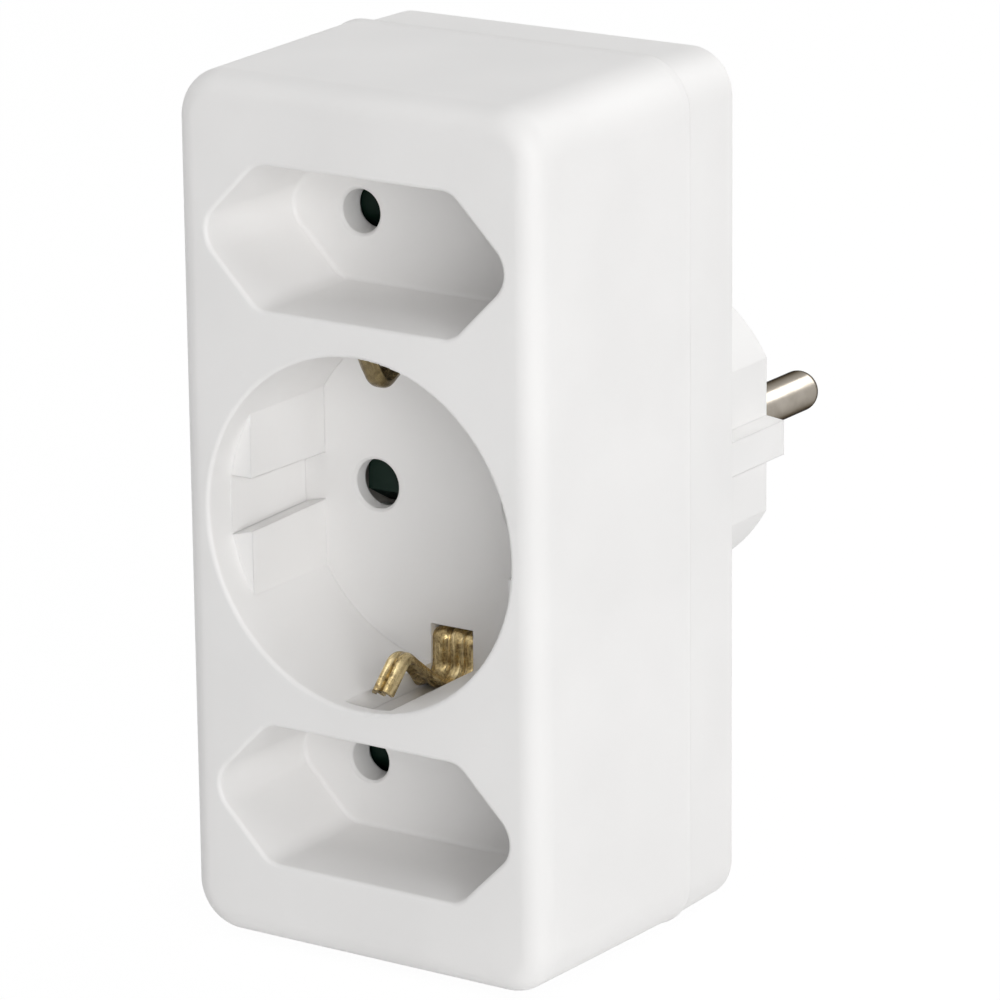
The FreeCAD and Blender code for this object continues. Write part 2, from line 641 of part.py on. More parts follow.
def contact_carrier():
    """Plate that traps the shutters, guides the pins and cages the contact leaves."""
    outline = rounded_rectangle(CARRIER_HALF_X, CARRIER_HALF_Z, CARRIER_CORNER_R, CARRIER_Y)
    adds = []
    cuts = []
    for name, (z, back) in OUTLETS.items():
        front = back + SHUTTER_T + 2 * SHUTTER_GAP
        if CARRIER_Y - front > TINY:
            adds.append(rod(TOWER_R, front, CARRIER_Y + PAST, 0.0, z))
        cuts.append(rod(SPRING_WIRE_R * 2, front - PAST, front + SPRING_LEG_HOLE, -SPRING_R, z))
        for x in POLES.values():
            adds.append(block(x - CAGE_HALF_X, x + CAGE_HALF_X, CARRIER_Y, CARRIER_BACK + CAGE_LENGTH,
                              z - CAGE_HALF_Z, z + CAGE_HALF_Z))
            inner_x, inner_z = CAGE_HALF_X - CAGE_WALL, CAGE_HALF_Z - CAGE_WALL
            cuts.append(block(x - inner_x, x + inner_x, CARRIER_BACK, CARRIER_BACK + CAGE_LENGTH + PAST,
                              z - inner_z, z + inner_z))
            cuts.append(rod(WELL_HOLE_R, CARRIER_Y - PAST, CARRIER_BACK + PAST, x, z))
    half = EARTH_W / 2 + SLOT_ROOM
    for side in (1, -1):
        z = side * EARTH_LEG_Z
        reach = SHEET_T / 2 + SLOT_ROOM
        cuts.append(block(-half, half, CARRIER_Y - PAST, CARRIER_BACK + PAST, z - reach, z + reach))
    cuts.append(rod(RIVET_HEAD_R + RIVET_CLEAR * 2, CARRIER_BACK - RIVET_HEAD_T, CARRIER_BACK + PAST))
    for x, z in CARRIER_SCREWS.values():
        cuts.append(rod(SCREW_R + SCREW_ROOM, CARRIER_Y - PAST, CARRIER_BACK + PAST, x, z))
    return plate(outline, CARRIER_T).fuse(adds).removeSplitter().cut(cuts).removeSplitter()


# Current-carrying pieces

def contact_rail(pole_x):
    """One pole's strip: flat at both ends, dropped into the plug body, with a pair of leaves per outlet."""
    end = EURO_Z + RAIL_OVERHANG
    deep, step = RAIL_DEEP_HALF_Z, RAIL_DEEP_HALF_Z + RAIL_STEP_Z
    path = [(RAIL_Y, -end), (RAIL_Y, -step), (RAIL_DEEP_Y, -deep)]
    path += [(y, -z) for y, z in reversed(path)]
    strip = ribbon(path, SHEET_T, BEND_R, RAIL_W, "YZ")
    edge = RAIL_W / 2 - LEAF_T / 2
    leaves = []
    for z, _ in OUTLETS.values():
        root = RAIL_DEEP_Y if z == 0 else RAIL_Y
        route = [(edge, root), (edge, LEAF_TIP_Y + LEAF_SHOULDER_BACK),
                 (LEAF_PINCH + LEAF_T / 2, LEAF_TIP_Y + LEAF_PINCH_BACK),
                 (LEAF_FLARE + LEAF_T / 2, LEAF_TIP_Y)]
        leaf = ribbon(route, LEAF_T, BEND_R, LEAF_W, "XY")
        leaf.translate(V(0, 0, z))
        leaves.append(leaf)
        leaves.append(leaf.mirror(V(0, 0, 0), V(1, 0, 0)))
    rail = strip.fuse(leaves).removeSplitter()
    rail = rail.cut(rod(PIN_TENON_R + RIVET_CLEAR, RAIL_DEEP_Y - SHEET_T, RAIL_DEEP_Y + SHEET_T))
    rail.translate(V(pole_x, 0, 0))
    return rail


def plug_pin(pole_x):
    """Plug pin: rounded free end, root flush with the plug's face, and a tenon riveted over the rail."""
    free = rod(PIN_R, PLUG_FACE_Y - PAST, PIN_TIP_Y)
    free = free.makeFillet(PIN_TIP_R, edges_at(free, PIN_TIP_Y))
    root = rod(PIN_ROOT_R, PIN_BOSS_TOP, PLUG_FACE_Y)
    strip_front = RAIL_DEEP_Y - SHEET_T / 2
    tenon = rod(PIN_TENON_R, strip_front - TINY, PIN_BOSS_TOP + PAST)
    head = rod(PIN_HEAD_R, strip_front - PIN_HEAD_T, strip_front)
    head = head.makeChamfer(PIN_HEAD_T / 2, edges_at(head, strip_front - PIN_HEAD_T))
    pin = free.fuse([root, tenon, head]).removeSplitter()
    pin.translate(V(pole_x, 0, 0))
    return pin


def earth_arm(hump, tip):
    """Lower half of the strip: from the middle of the bridge to a tip, with two ridges along the finger."""
    bridge_y = CARRIER_BACK + SHEET_T / 2
    base_y = WELL_DEPTH + EARTH_BASE_BACK + SHEET_T / 2
    fold = [(bridge_y, 0.0), (bridge_y, -EARTH_LEG_Z), (base_y, -EARTH_LEG_Z), (base_y, -EARTH_BASE_Z),
            (base_y - EARTH_TONGUE, -VALLEY_Z)]
    strip = ribbon(fold, SHEET_T, BEND_R, EARTH_W, "YZ")
    finger = [(base_y, -EARTH_LEG_Z - BEND_R), (base_y, -EARTH_BASE_Z), (VALLEY_Y, -VALLEY_Z),
              (hump[0], hump[1] - WELL_R), (tip[0], tip[1] - WELL_R)]
    ridges = []
    for side in (1, -1):
        ridge = ribbon(finger, EARTH_RIDGE_R * 2, EARTH_BEND_R, EARTH_ARM_W / 2, "YZ")
        ridge.translate(V(side * EARTH_RIDGE_X, 0, 0))
        ridges.append(ridge)
    return strip.fuse(ridges)


def socket_earth_bracket():
    """Folded strip behind the carrier whose two ends come forward as the well's sprung earth arms."""
    lower = earth_arm((HUMP_Y, HUMP_IN), (TIP_Y, TIP_IN))
    upper = mirrored_z(earth_arm((UPPER_HUMP_Y, UPPER_HUMP_IN), (UPPER_TIP_Y, UPPER_TIP_IN)))
    bracket = lower.fuse(upper).removeSplitter()
    return bracket.cut(rod(RIVET_R + RIVET_CLEAR, CARRIER_BACK - PAST, CARRIER_BACK + SHEET_T + PAST))


def plug_earth_bracket():
    """U-shaped strip riveted on the first, whose legs lie in the plug body's top and bottom grooves."""
    base_y = CARRIER_BACK + SHEET_T * 1.5
    end_y = PLUG_FACE_Y - CLIP_END_BACK
    leg = [(base_y, 0.0), (base_y, CLIP_Z), (end_y, CLIP_Z), (end_y + CLIP_END_TURN, CLIP_Z - CLIP_END_TURN)]
    half = ribbon(leg, SHEET_T, BEND_R, EARTH_W, "YZ")
    bracket = half.fuse(mirrored_z(half)).removeSplitter()
    return bracket.cut(rod(RIVET_R + RIVET_CLEAR, base_y - SHEET_T, base_y + SHEET_T))


def earth_rivet():
    """Rivet that joins the two earth strips."""
    y0 = CARRIER_BACK
    y1 = CARRIER_BACK + 2 * SHEET_T
    front = rod(RIVET_HEAD_R, y0 - RIVET_HEAD_T, y0)
    back = rod(RIVET_HEAD_R, y1, y1 + RIVET_HEAD_T)
    back = back.makeChamfer(RIVET_HEAD_T / 2, edges_at(back, y1 + RIVET_HEAD_T))
    return rod(RIVET_R, y0 - TINY, y1 + TINY).fuse([front, back]).removeSplitter()


# Shutters

def shutter(z, back):
    """Two-winged shutter on a hub. Pins pressed on both 45 degree ramps turn it out of their way."""
    y0 = back + SHUTTER_GAP
    y1 = y0 + SHUTTER_T
    wings = rod(SHUTTER_REACH, y0, y1).common(
        block(-SHUTTER_REACH, SHUTTER_REACH, y0, y1, -SHUTTER_HALF_W, SHUTTER_HALF_W))
    body = wings.fuse(rod(SHUTTER_HUB_R, y0, y1)).removeSplitter()
    rise = SHUTTER_T - SHUTTER_TOE
    low = -SHUTTER_HALF_W
    past_end = -SHUTTER_REACH - PAST
    spots = [V(past_end, y0 - PAST, low - PAST), V(past_end, y0 + rise + PAST, low - PAST),
             V(past_end, y0 - PAST, low + rise + PAST)]
    ramp_length = SHUTTER_REACH + PAST - SHUTTER_HUB_R
    ramp = Part.Face(Part.makePolygon(spots + spots[:1])).extrude(V(ramp_length, 0, 0))
    pocket = rod(SPRING_R + SPRING_ROOM, y1 - SPRING_POCKET, y1 + PAST).cut(
        rod(SPRING_R - SPRING_ROOM, y1 - SPRING_POCKET - PAST, y1 + 2 * PAST))
    leg_slot = block(SPRING_R, SPRING_R + SPRING_LEG + SPRING_ROOM, y1 - SPRING_POCKET, y1 + PAST,
                     -SPRING_WIRE_R * 2, SPRING_WIRE_R * 2)
    bore = rod(POST_R + POST_CLEAR, y0 - PAST, y1 + PAST)
    body = body.cut([ramp, turned_half(ramp, 0), pocket, leg_slot, bore])
    body.translate(V(0, 0, z))
    return body.removeSplitter()


def shutter_spring(z, back):
    """Torsion spring: one leg lies in the shutter's slot and the other stands in the carrier."""
    start = back + SHUTTER_GAP + SHUTTER_T - SPRING_POCKET + SPRING_WIRE_R * 2
    leg_end = back + SHUTTER_T + 2 * SHUTTER_GAP + SPRING_LEG_IN_HOLE
    path = [V(SPRING_R + SPRING_LEG, start, 0)]
    for i in range(round(SPRING_TURNS * SPRING_CHORDS) + 1):
        angle = 2 * math.pi * i / SPRING_CHORDS
        rise = SPRING_PITCH * i / SPRING_CHORDS
        path.append(V(SPRING_R * math.cos(angle), start + rise, SPRING_R * math.sin(angle)))
    path.append(V(path[-1].x, leg_end, path[-1].z))
    section = Part.makePolygon([
        path[0] + V(0, SPRING_WIRE_R * math.cos(a), SPRING_WIRE_R * math.sin(a))
        for a in [2 * math.pi * i / SPRING_WIRE_SIDES for i in range(SPRING_WIRE_SIDES + 1)]])
    mitred = 1
    spring = Part.makePolygon(path).makePipeShell([section], True, False, mitred)
    spring.translate(V(0, 0, z))
    return spring


# Fasteners

def screw(x, z, seat_y):
    """Pan-head screw whose head sits on seat_y and whose shank runs forward."""
    head = rod(SCREW_HEAD_R, seat_y, seat_y + SCREW_HEAD_T)
    head = head.makeChamfer(SCREW_HEAD_EDGE, edges_at(head, seat_y + SCREW_HEAD_T))
    tip_y = seat_y - SCREW_LENGTH + 2 * SCREW_ROOM
    shank = rod(SCREW_R, tip_y, seat_y + TINY)
    reach, half = CROSS_REACH, CROSS_W / 2
    y0, y1 = seat_y + SCREW_HEAD_T - CROSS_DEPTH, seat_y + SCREW_HEAD_T + PAST
    cross = block(-reach, reach, y0, y1, -half, half).fuse(block(-half, half, y0, y1, -reach, reach))
    whole = head.fuse(shank).removeSplitter().cut(cross)
    whole.translate(V(x, 0, z))
    return whole


def build():
    """Every piece by name, drawn from the middle of the front face."""
    pieces = {
        "front_housing": front_housing(),
        "rear_cover": rear_cover(),
        "contact_carrier": contact_carrier(),
        "socket_earth_bracket": socket_earth_bracket(),
        "plug_earth_bracket": plug_earth_bracket(),
        "earth_rivet": earth_rivet(),
    }
    for pole, x in POLES.items():
        pieces[pole + "_rail"] = contact_rail(x)
        pieces[pole + "_pin"] = plug_pin(x)
    for name, (z, back) in OUTLETS.items():
        pieces[name + "_shutter"] = shutter(z, back)
        pieces[name + "_shutter_spring"] = shutter_spring(z, back)
    for corner, (x, z) in COVER_SCREWS.items():
        pieces["cover_screw_" + corner] = screw(x, z, COVER_SCREW_Y)
    for corner, (x, z) in CARRIER_SCREWS.items():
        pieces["carrier_screw_" + corner] = screw(x, z, CARRIER_BACK)
    return pieces


def main():
    """Set every piece down on Z = 0, centred in X and Y, and write it."""
    os.makedirs("parts", exist_ok=True)
    for name, shape in build().items():
        shape.translate(V(0, -PIN_TIP_Y / 2, HALF_HEIGHT))
        solids = len(shape.Solids)
        print(f"{name:28s} solids {solids} valid {shape.isValid()} volume {shape.Volume:9.2f}")
        if solids == 1:
            shape = shape.Solids[0]
        shape.exportStep(os.path.join("parts", name + ".step"))


main()
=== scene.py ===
# %% [markdown]
# # A three-outlet mains adapter, dressed for its picture
#
# The adapter is a small white box that plugs into a wall. Its front has a round earthed outlet between
# two flat six-sided ones, and its back carries a plug body with two nickel pins. The construction model
# already has every piece at its real size, so this lesson only adds what an eye wants: smooth shading,
# small eases where the real mouldings look softer, the rolled brass of the earth springs, the fine wire
# of the shutter springs, and a surface finish for each material. Everything is in metres, in the frame
# of the construction model.

# %% Load the construction model
import json
import math

import bpy
import numpy as np
from mathutils import Matrix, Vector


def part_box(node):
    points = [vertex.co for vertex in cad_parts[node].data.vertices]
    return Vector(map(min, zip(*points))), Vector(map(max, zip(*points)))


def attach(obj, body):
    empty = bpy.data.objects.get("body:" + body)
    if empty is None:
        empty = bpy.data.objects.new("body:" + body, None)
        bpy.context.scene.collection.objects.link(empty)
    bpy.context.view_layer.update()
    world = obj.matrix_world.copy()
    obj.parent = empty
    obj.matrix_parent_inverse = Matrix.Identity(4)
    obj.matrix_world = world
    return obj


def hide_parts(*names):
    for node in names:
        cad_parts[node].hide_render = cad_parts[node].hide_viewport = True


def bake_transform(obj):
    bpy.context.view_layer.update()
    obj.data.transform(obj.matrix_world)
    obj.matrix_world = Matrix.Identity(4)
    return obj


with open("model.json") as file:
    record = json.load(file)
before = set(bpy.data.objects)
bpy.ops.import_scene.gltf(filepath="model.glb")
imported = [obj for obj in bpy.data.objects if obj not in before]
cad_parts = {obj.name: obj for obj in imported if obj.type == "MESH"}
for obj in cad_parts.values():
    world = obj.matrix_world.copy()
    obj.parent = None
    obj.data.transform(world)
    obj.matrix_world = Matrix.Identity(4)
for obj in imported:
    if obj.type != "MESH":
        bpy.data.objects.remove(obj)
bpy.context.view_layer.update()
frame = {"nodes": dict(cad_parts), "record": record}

# %% [markdown]
# ## Sizes
#
# A maker's drawing of this adapter has its origin in the middle of the front face. The frame puts the
# adapter on the floor instead. `spot` turns a place on that drawing, in millimetres, into the frame, and
# `on_drawing` goes the other way. The front face and the middle height come from the front housing's box.

# %% Millimetres on the drawing to metres in the frame
MM = 0.001
housing_low, housing_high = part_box("front_housing")
FRONT_Y = housing_low.y
MIDDLE_Z = (housing_low.z + housing_high.z) / 2


def spot(places):
    """Rows of (x, y, z) in millimetres from the middle of the front face become rows in the frame."""
    return np.asarray(places, float) * MM + np.array([0.0, FRONT_Y, MIDDLE_Z])


def on_drawing(places):
    """Rows of the frame become millimetres from the middle of the front face."""
    return places / MM - spot([0.0, 0.0, 0.0]) / MM


print("front face at", round(FRONT_Y, 5), "middle height", round(MIDDLE_Z, 5))

# %% [markdown]
# ## Colours and nodes
#
# Colours are written as the hex values that a colour picker shows. The renderer counts in linear light,
# so one function converts them. One more small function adds a node, sets it and links it, which keeps
# every material below short enough to read.

# %% Colour and node helpers


def colour(hex_value):
    """sRGB hex to linear RGBA: values under 0.04045 are divided, the others follow a 2.4 power."""
    channels = [int(hex_value[i:i + 2], 16) / 255 for i in (1, 3, 5)]
    linear = [c / 12.92 if c <= 0.04045 else ((c + 0.055) / 1.055) ** 2.4 for c in channels]
    return (*linear, 1.0)


def add_node(tree, kind, inputs=None, **settings):
    """Adds one node. An input is a plain value, or an output socket that is linked to it."""
    made = tree.nodes.new(kind)
    for name, value in settings.items():
        setattr(made, name, value)
    for socket, value in (inputs or {}).items():
        if isinstance(value, bpy.types.NodeSocket):
            tree.links.new(value, made.inputs[socket])
        else:
            made.inputs[socket].default_value = value
    return made


def new_material(name):
    """Empty node material, with its tree and its output node."""
    material = bpy.data.materials.new(name)
    material.use_nodes = True
    tree = material.node_tree
    tree.nodes.clear()
    return material, tree, add_node(tree, "ShaderNodeOutputMaterial")


def millimetres(tree, stretch=(1.0, 1.0, 1.0)):
    """Object coordinates in millimetres, so a noise scale of 1 / size gives spots of that size."""
    place = add_node(tree, "ShaderNodeTexCoord").outputs["Object"]
    scale = [s / MM for s in stretch]
    return add_node(tree, "ShaderNodeMapping", {"Vector": place, "Scale": scale}).outputs["Vector"]


def noise(tree, vector, size_mm, detail=2.0, roughness=0.5):
    """Noise whose spots are about size_mm across."""
    made = add_node(tree, "ShaderNodeTexNoise", {"Vector": vector, "Scale": 1 / size_mm, "Detail": detail,
                                                 "Roughness": roughness})
    return made.outputs["Fac"]


def between(tree, value, low, high, start=0.35, end=0.65):
    """Stretches a 0 to 1 pattern so that start gives low and end gives high."""
    made = add_node(tree, "ShaderNodeMapRange", {"Value": value, "From Min": start, "From Max": end,
                                                 "To Min": low, "To Max": high})
    return made.outputs["Result"]


def blend_colours(tree, factor, first, second):
    """Mix of two colours by a pattern. first is a hex value, or the result of another mix."""
    first = colour(first) if isinstance(first, str) else first
    made = add_node(tree, "ShaderNodeMix", {"Factor": factor, "A": first, "B": colour(second)},
                    data_type="RGBA")
    return made.outputs["Result"]


print("mid grey as linear light:", [round(c, 3) for c in colour("#808080")])

# %% [markdown]
# ## Moulded plastics
#
# Both shells are injection moulded ABS. The tool is spark eroded, which leaves a fine even grain: it
# makes the gloss soft without a pattern that one would notice. Thick and thin walls cool differently, so
# the face is never quite flat, and its gloss drifts a little over 20 mm. The real grain is about
# 0.05 mm, finer than a pixel, so it is drawn 0.35 mm wide. A moulded edge is never sharp: the bevel node
# rounds what the construction model leaves square. The carrier inside is the same plastic, a little
# greyer. The shutters are a green nylon, near black in the holes, that mirrors less than the ABS.

# %% Plastics
SINK_MM, SINK_DEPTH = 20.0, 0.03
GRAIN_MM, GRAIN_DEPTH = 0.35, 0.004
GRAIN_DULLS = 0.05
PLASTIC_IOR = 1.53


def moulded_plastic(name, shade, deep_shade, roughness, edge_mm, gloss=0.5):
    """Spark-eroded moulding in two near shades, with soft edges edge_mm wide.

    A gloss of 0.5 mirrors as much as the IOR alone says, and a lower one less.
    """
    material, tree, output = new_material(name)
    place = millimetres(tree)
    drift = noise(tree, place, size_mm=SINK_MM)
    grain = noise(tree, place, size_mm=GRAIN_MM, detail=3.0)
    soft_edge = add_node(tree, "ShaderNodeBevel", {"Radius": edge_mm * MM}, samples=3).outputs["Normal"]
    sink = add_node(tree, "ShaderNodeBump", {"Height": drift, "Normal": soft_edge, "Strength": 1.0,
                                             "Distance": SINK_DEPTH * MM}).outputs["Normal"]
    normal = add_node(tree, "ShaderNodeBump", {"Height": grain, "Normal": sink, "Strength": 1.0,
                                               "Distance": GRAIN_DEPTH * MM}).outputs["Normal"]
    shader = add_node(tree, "ShaderNodeBsdfPrincipled", {
        "Base Color": blend_colours(tree, between(tree, drift, 0.0, 1.0), shade, deep_shade),
        "Roughness": between(tree, grain, roughness - GRAIN_DULLS, roughness + GRAIN_DULLS),
        "IOR": PLASTIC_IOR,
        "Specular IOR Level": gloss,
        "Normal": normal,
    })
    tree.links.new(shader.outputs["BSDF"], output.inputs["Surface"])
    return material


white_abs = moulded_plastic("spark_eroded_white_abs", "#F4F3F2", "#F0EFEE", roughness=0.55,
                            edge_mm=0.25)
carrier_abs = moulded_plastic("matt_grey_white_abs", "#D9D6CF", "#D2CFC7", roughness=0.5, edge_mm=0.1)
shutter_nylon = moulded_plastic("dark_green_moulded_nylon", "#0C231A", "#081A13", roughness=0.5,
                                edge_mm=0.15, gloss=0.15)
print("plastics:", white_abs.name, carrier_abs.name, shutter_nylon.name)

# %% [markdown]
# ## Stamped brass
#
# The earth springs and the contact strips are stamped from brass sheet and folded. Bare brass dulls
# unevenly: brown tarnish lies in blotches about half a millimetre wide. Lighter streaks along the
# strip's length are painted highlights, standing in for the lamp's reflection along its flutes.
# Roughness follows the blotches, because tarnish is dark and dull at once, and its film is not quite
# metallic. The dents of the sheet's rolled skin are shallow, but they break up the highlights. The
# upper end of the strip is painted darker than the lower one: painted shade.

# %% Brass
BLOTCH_MM = 0.6
PIT_MM, PIT_DEPTH = 0.18, 0.025
# Painted highlight streaks: their width and their stretch along the strip.
HIGHLIGHT_STREAK_MM, HIGHLIGHT_STREAK_STRETCH = 0.5, (1.0, 0.1, 0.1)
# Painted shade: the heights above the middle where the upper end starts and ends darkening, and how dark.
PAINTED_SHADE_FROM, PAINTED_SHADE_TO, PAINTED_SHADE_SHARE = 8, 12, 0.85
TARNISHED_METALLIC = 0.88


def stamped_brass(name):
    """Bare rolled brass: tarnish blotches, painted highlight streaks, fine pits, painted shade up top."""
    material, tree, output = new_material(name)
    place = millimetres(tree)
    blotch = noise(tree, place, size_mm=BLOTCH_MM, detail=5.0, roughness=0.7)
    pits = noise(tree, place, size_mm=PIT_MM, detail=3.0)
    # Painted highlights: lighter streaks along the strip stand in for the lamp's reflection on its
    # flutes.
    highlight_streak_noise = noise(tree, millimetres(tree, stretch=HIGHLIGHT_STREAK_STRETCH), size_mm=HIGHLIGHT_STREAK_MM, detail=3.0)
    tarnish = between(tree, blotch, 0.0, 1.0, start=0.36, end=0.64)
    dull_brass = blend_colours(tree, tarnish, "#D3BC88", "#776546")
    painted_highlight_streaks = between(tree, highlight_streak_noise, 0.0, 0.7, start=0.54, end=0.64)
    brass_with_painted_highlights = blend_colours(tree, painted_highlight_streaks, dull_brass, "#F8E3B0")
    # Painted shade: above a height the colour blends towards dark brass, darkening the strip's upper end.
    height = add_node(tree, "ShaderNodeSeparateXYZ", {"Vector": place}).outputs["Z"]
    middle = MIDDLE_Z / MM
    upper = between(tree, height, 0.0, PAINTED_SHADE_SHARE, start=middle + PAINTED_SHADE_FROM, end=middle + PAINTED_SHADE_TO)
    normal = add_node(tree, "ShaderNodeBump", {"Height": pits, "Strength": 1.0,
                                               "Distance": PIT_DEPTH * MM}).outputs["Normal"]
    shader = add_node(tree, "ShaderNodeBsdfPrincipled", {
        "Base Color": blend_colours(tree, upper, brass_with_painted_highlights, "#5E5238"),
        "Metallic": TARNISHED_METALLIC,
        "Roughness": between(tree, blotch, 0.22, 0.40, start=0.38, end=0.62),
        "Normal": normal,
    })
    tree.links.new(shader.outputs["BSDF"], output.inputs["Surface"])
    return material


brass = stamped_brass("bare_stamped_brass")
print("brass:", brass.name)

# %% [markdown]
# ## Nickel, zinc and spring wire
#
# The plug's pins and side contacts are nickel plated and polished, so they mirror the room with only a
# faint haze; their edges get a dark tint at glancing angles, a painted dark reflection. The screws are
# zinc plated: greyer, duller, a little mottled. The shutter springs are drawn wire, whose die marks blur
# its highlight.

# %% Plated and drawn metals
PLATE_DEPTH = 0.003


def plated_metal(name, shade, deep_shade, edge_shade, smooth, dull, spot_mm):
    """Plated metal whose gloss drifts between smooth and dull in spots of spot_mm.

    edge_shade tints what it mirrors at a glancing angle; a dark one paints dark reflections on the edges.
    """
    material, tree, output = new_material(name)
    place = millimetres(tree)
    haze = noise(tree, place, size_mm=spot_mm, detail=4.0)
    normal = add_node(tree, "ShaderNodeBump", {"Height": haze, "Strength": 1.0,
                                               "Distance": PLATE_DEPTH * MM}).outputs["Normal"]
    shader = add_node(tree, "ShaderNodeBsdfPrincipled", {
        "Base Color": blend_colours(tree, between(tree, haze, 0.0, 1.0), shade, deep_shade),
        "Metallic": 1.0,
        "Roughness": between(tree, haze, smooth, dull),
        "Specular Tint": colour(edge_shade),
        "Normal": normal,
    })
    tree.links.new(shader.outputs["BSDF"], output.inputs["Surface"])
    return material


# Painted reflection: the dark glancing tint darkens the edges of the pins.
nickel = plated_metal("bright_nickel_plate", "#B5AEA4", "#ABA49A", "#3A3835", smooth=0.20, dull=0.27,
                      spot_mm=2.5)
zinc = plated_metal("zinc_plated_steel", "#C4C6C6", "#AEB1B3", "#B0B0B0", smooth=0.30, dull=0.45,
                    spot_mm=0.8)
spring_wire = plated_metal("drawn_spring_wire", "#A6A7A9", "#8E8F92", "#B0B0B0", smooth=0.22, dull=0.34,
                           spot_mm=0.3)
print("metals:", nickel.name, zinc.name, spring_wire.name)

# %% [markdown]
# ## Which piece wears what
#
# The record gives every piece a material slot, so the finishes are handed out by slot. A piece rides on
# the body that the record names for it.

# %% Finish and body of each piece
FINISHES = {
    "white_plastic": white_abs,
    "carrier_plastic": carrier_abs,
    "shutter_plastic": shutter_nylon,
    "brass": brass,
    "nickel": nickel,
    "spring_steel": spring_wire,
    "zinc_steel": zinc,
}
slot_of = {part["node"]: part["material_slot"] for part in frame["record"]["subparts"]}
body_of = {node: body for body, nodes in frame["record"]["behaviour"]["bodies"].items() for node in nodes}
print("slots in use:", sorted(set(slot_of.values())))

# %% [markdown]
# ## Smooth copies
#
# The construction model arrives as loose triangles, so light breaks at each one of them. A copy with
# shared corners can be shaded smoothly. Faces that meet at more than 28 degrees stay crisp, and a
# weighted normal lets the large flat faces win over the narrow strips of a rounded edge, so that flats
# stay flat up to their edge. A plain copy has exactly the shape of the piece it stands for. The two
# shells and the shutters are eased a little, in the cells that follow.

# %% Copies that share their corners
MERGE = 0.0005 * MM
CRISP_ANGLE = math.radians(28)


def finish_piece(name, mesh, node, bend=None):
    """Puts a mesh on show in place of a construction piece: the finish that its slot names, and its body.

    bend, when given, leaves the piece fixed in place without a body; its body, start and end are not
    used.
    """
    piece = bpy.data.objects.new(name, mesh)
    bpy.context.scene.collection.objects.link(piece)
    mesh.materials.append(FINISHES[slot_of[node]])
    if bend is None:
        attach(piece, body_of[node])
    else:
        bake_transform(piece)
    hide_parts(node)
    return piece


def smooth_copy(node, ease=None):
    """Copy of a construction piece whose triangles share corners that round to the same place.

    ease may move the corners a little before the copy is made.
    """
    loose = frame["nodes"][node].data
    places = np.zeros(len(loose.vertices) * 3)
    loose.vertices.foreach_get("co", places)
    places = places.reshape(-1, 3)
    corners = np.zeros(len(loose.loops), int)
    loose.loops.foreach_get("vertex_index", corners)
    cells = np.round(places / MERGE).astype(np.int64)
    _, first, shared = np.unique(cells, axis=0, return_index=True, return_inverse=True)
    triangles = shared.reshape(-1)[corners].reshape(-1, 3)
    whole = (triangles != np.roll(triangles, 1, axis=1)).all(axis=1)
    corner_places = places[first] if ease is None else ease(places[first])
    mesh = bpy.data.meshes.new(node + "_smooth")
    mesh.from_pydata(corner_places.tolist(), [], triangles[whole].tolist())
    mesh.shade_smooth()
    mesh.set_sharp_from_angle(angle=CRISP_ANGLE)
    piece = finish_piece(node + "_skin", mesh, node)
    weighted = piece.modifiers.new("flats_stay_flat", "WEIGHTED_NORMAL")
    weighted.keep_sharp = True


SPRINGS = [name for name in frame["nodes"] if name.endswith("_spring")]
REMADE = ["socket_earth_bracket"] + SPRINGS
EASED = ["front_housing", "rear_cover", "upper_shutter", "centre_shutter", "lower_shutter"]
plain = [name for name in sorted(frame["nodes"]) if name not in REMADE + EASED]
for node in plain:
    smooth_copy(node)
print("smooth copies:", len(plain))

# %% [markdown]
# ## The shells, eased
#
# The construction model thickens the front housing's open edge with a band that stands out 0.3 mm. On the
# real moulding that step hardly shows: its sides lean out in one straight line, and only a fine bead at
# the very edge marks the seam. So the corners where the band begins are moved onto that line, up to the
# bead. The slots for the earth strip close in round it by a quarter of a millimetre, and the round
# well's side grooves get a little slope on their lower face.
#
# The rear cover sits a little low and to the left in its seam, as a screwed cover does within its play.
# So its outer corners at the bottom are moved 0.6 mm down, and those at the left 0.25 mm outwards.
#
# The outline is a rectangle with round corners. Each corner of the mesh is measured from the nearest
# place of the inner rectangle that holds the rounding centres, which gives it a reach and a direction.
# A corner counts as lying on a face when it is within `NEAR` of it.

# %% Ways to ease the shells
NEAR = 0.06
OPEN_HALF = np.array([23.5, 48.7])
CORNER_R = 5.5
OPEN_Y = 29.1
SHELL_DRAFT = 0.012
FRONT_ROUND_END = 2.9
BAND_RING = (23.0, 24.2)
BAND_SKIN = 0.15
BEAD_BACK = 4.4
BEAD_Y = 28.1
LEAN = 0.14
SLOT_FRONT, SLOT_BACK = 17.5, 20.0
SLOT_HALF, SLOT_SNUG = 3.0, 2.75
GROOVE_WALL, GROOVE_DROP = 19.28, 0.7
LEDGE_Z, LEDGE_SPAN = -2.82, 0.22
COVER_SKIN = 1.65
COVER_LOW, COVER_LEFT = 0.6, 0.25


def reach_past(drawn, half):
    """Nearest place of the inner rectangle, outward direction and reach of rows of (x, z)."""
    inner = half - CORNER_R
    core = np.clip(drawn[:, [0, 2]], -inner, inner)
    away = drawn[:, [0, 2]] - core
    reach = np.linalg.norm(away, axis=1)
    return core, away / np.maximum(reach, 1e-9)[:, None], reach


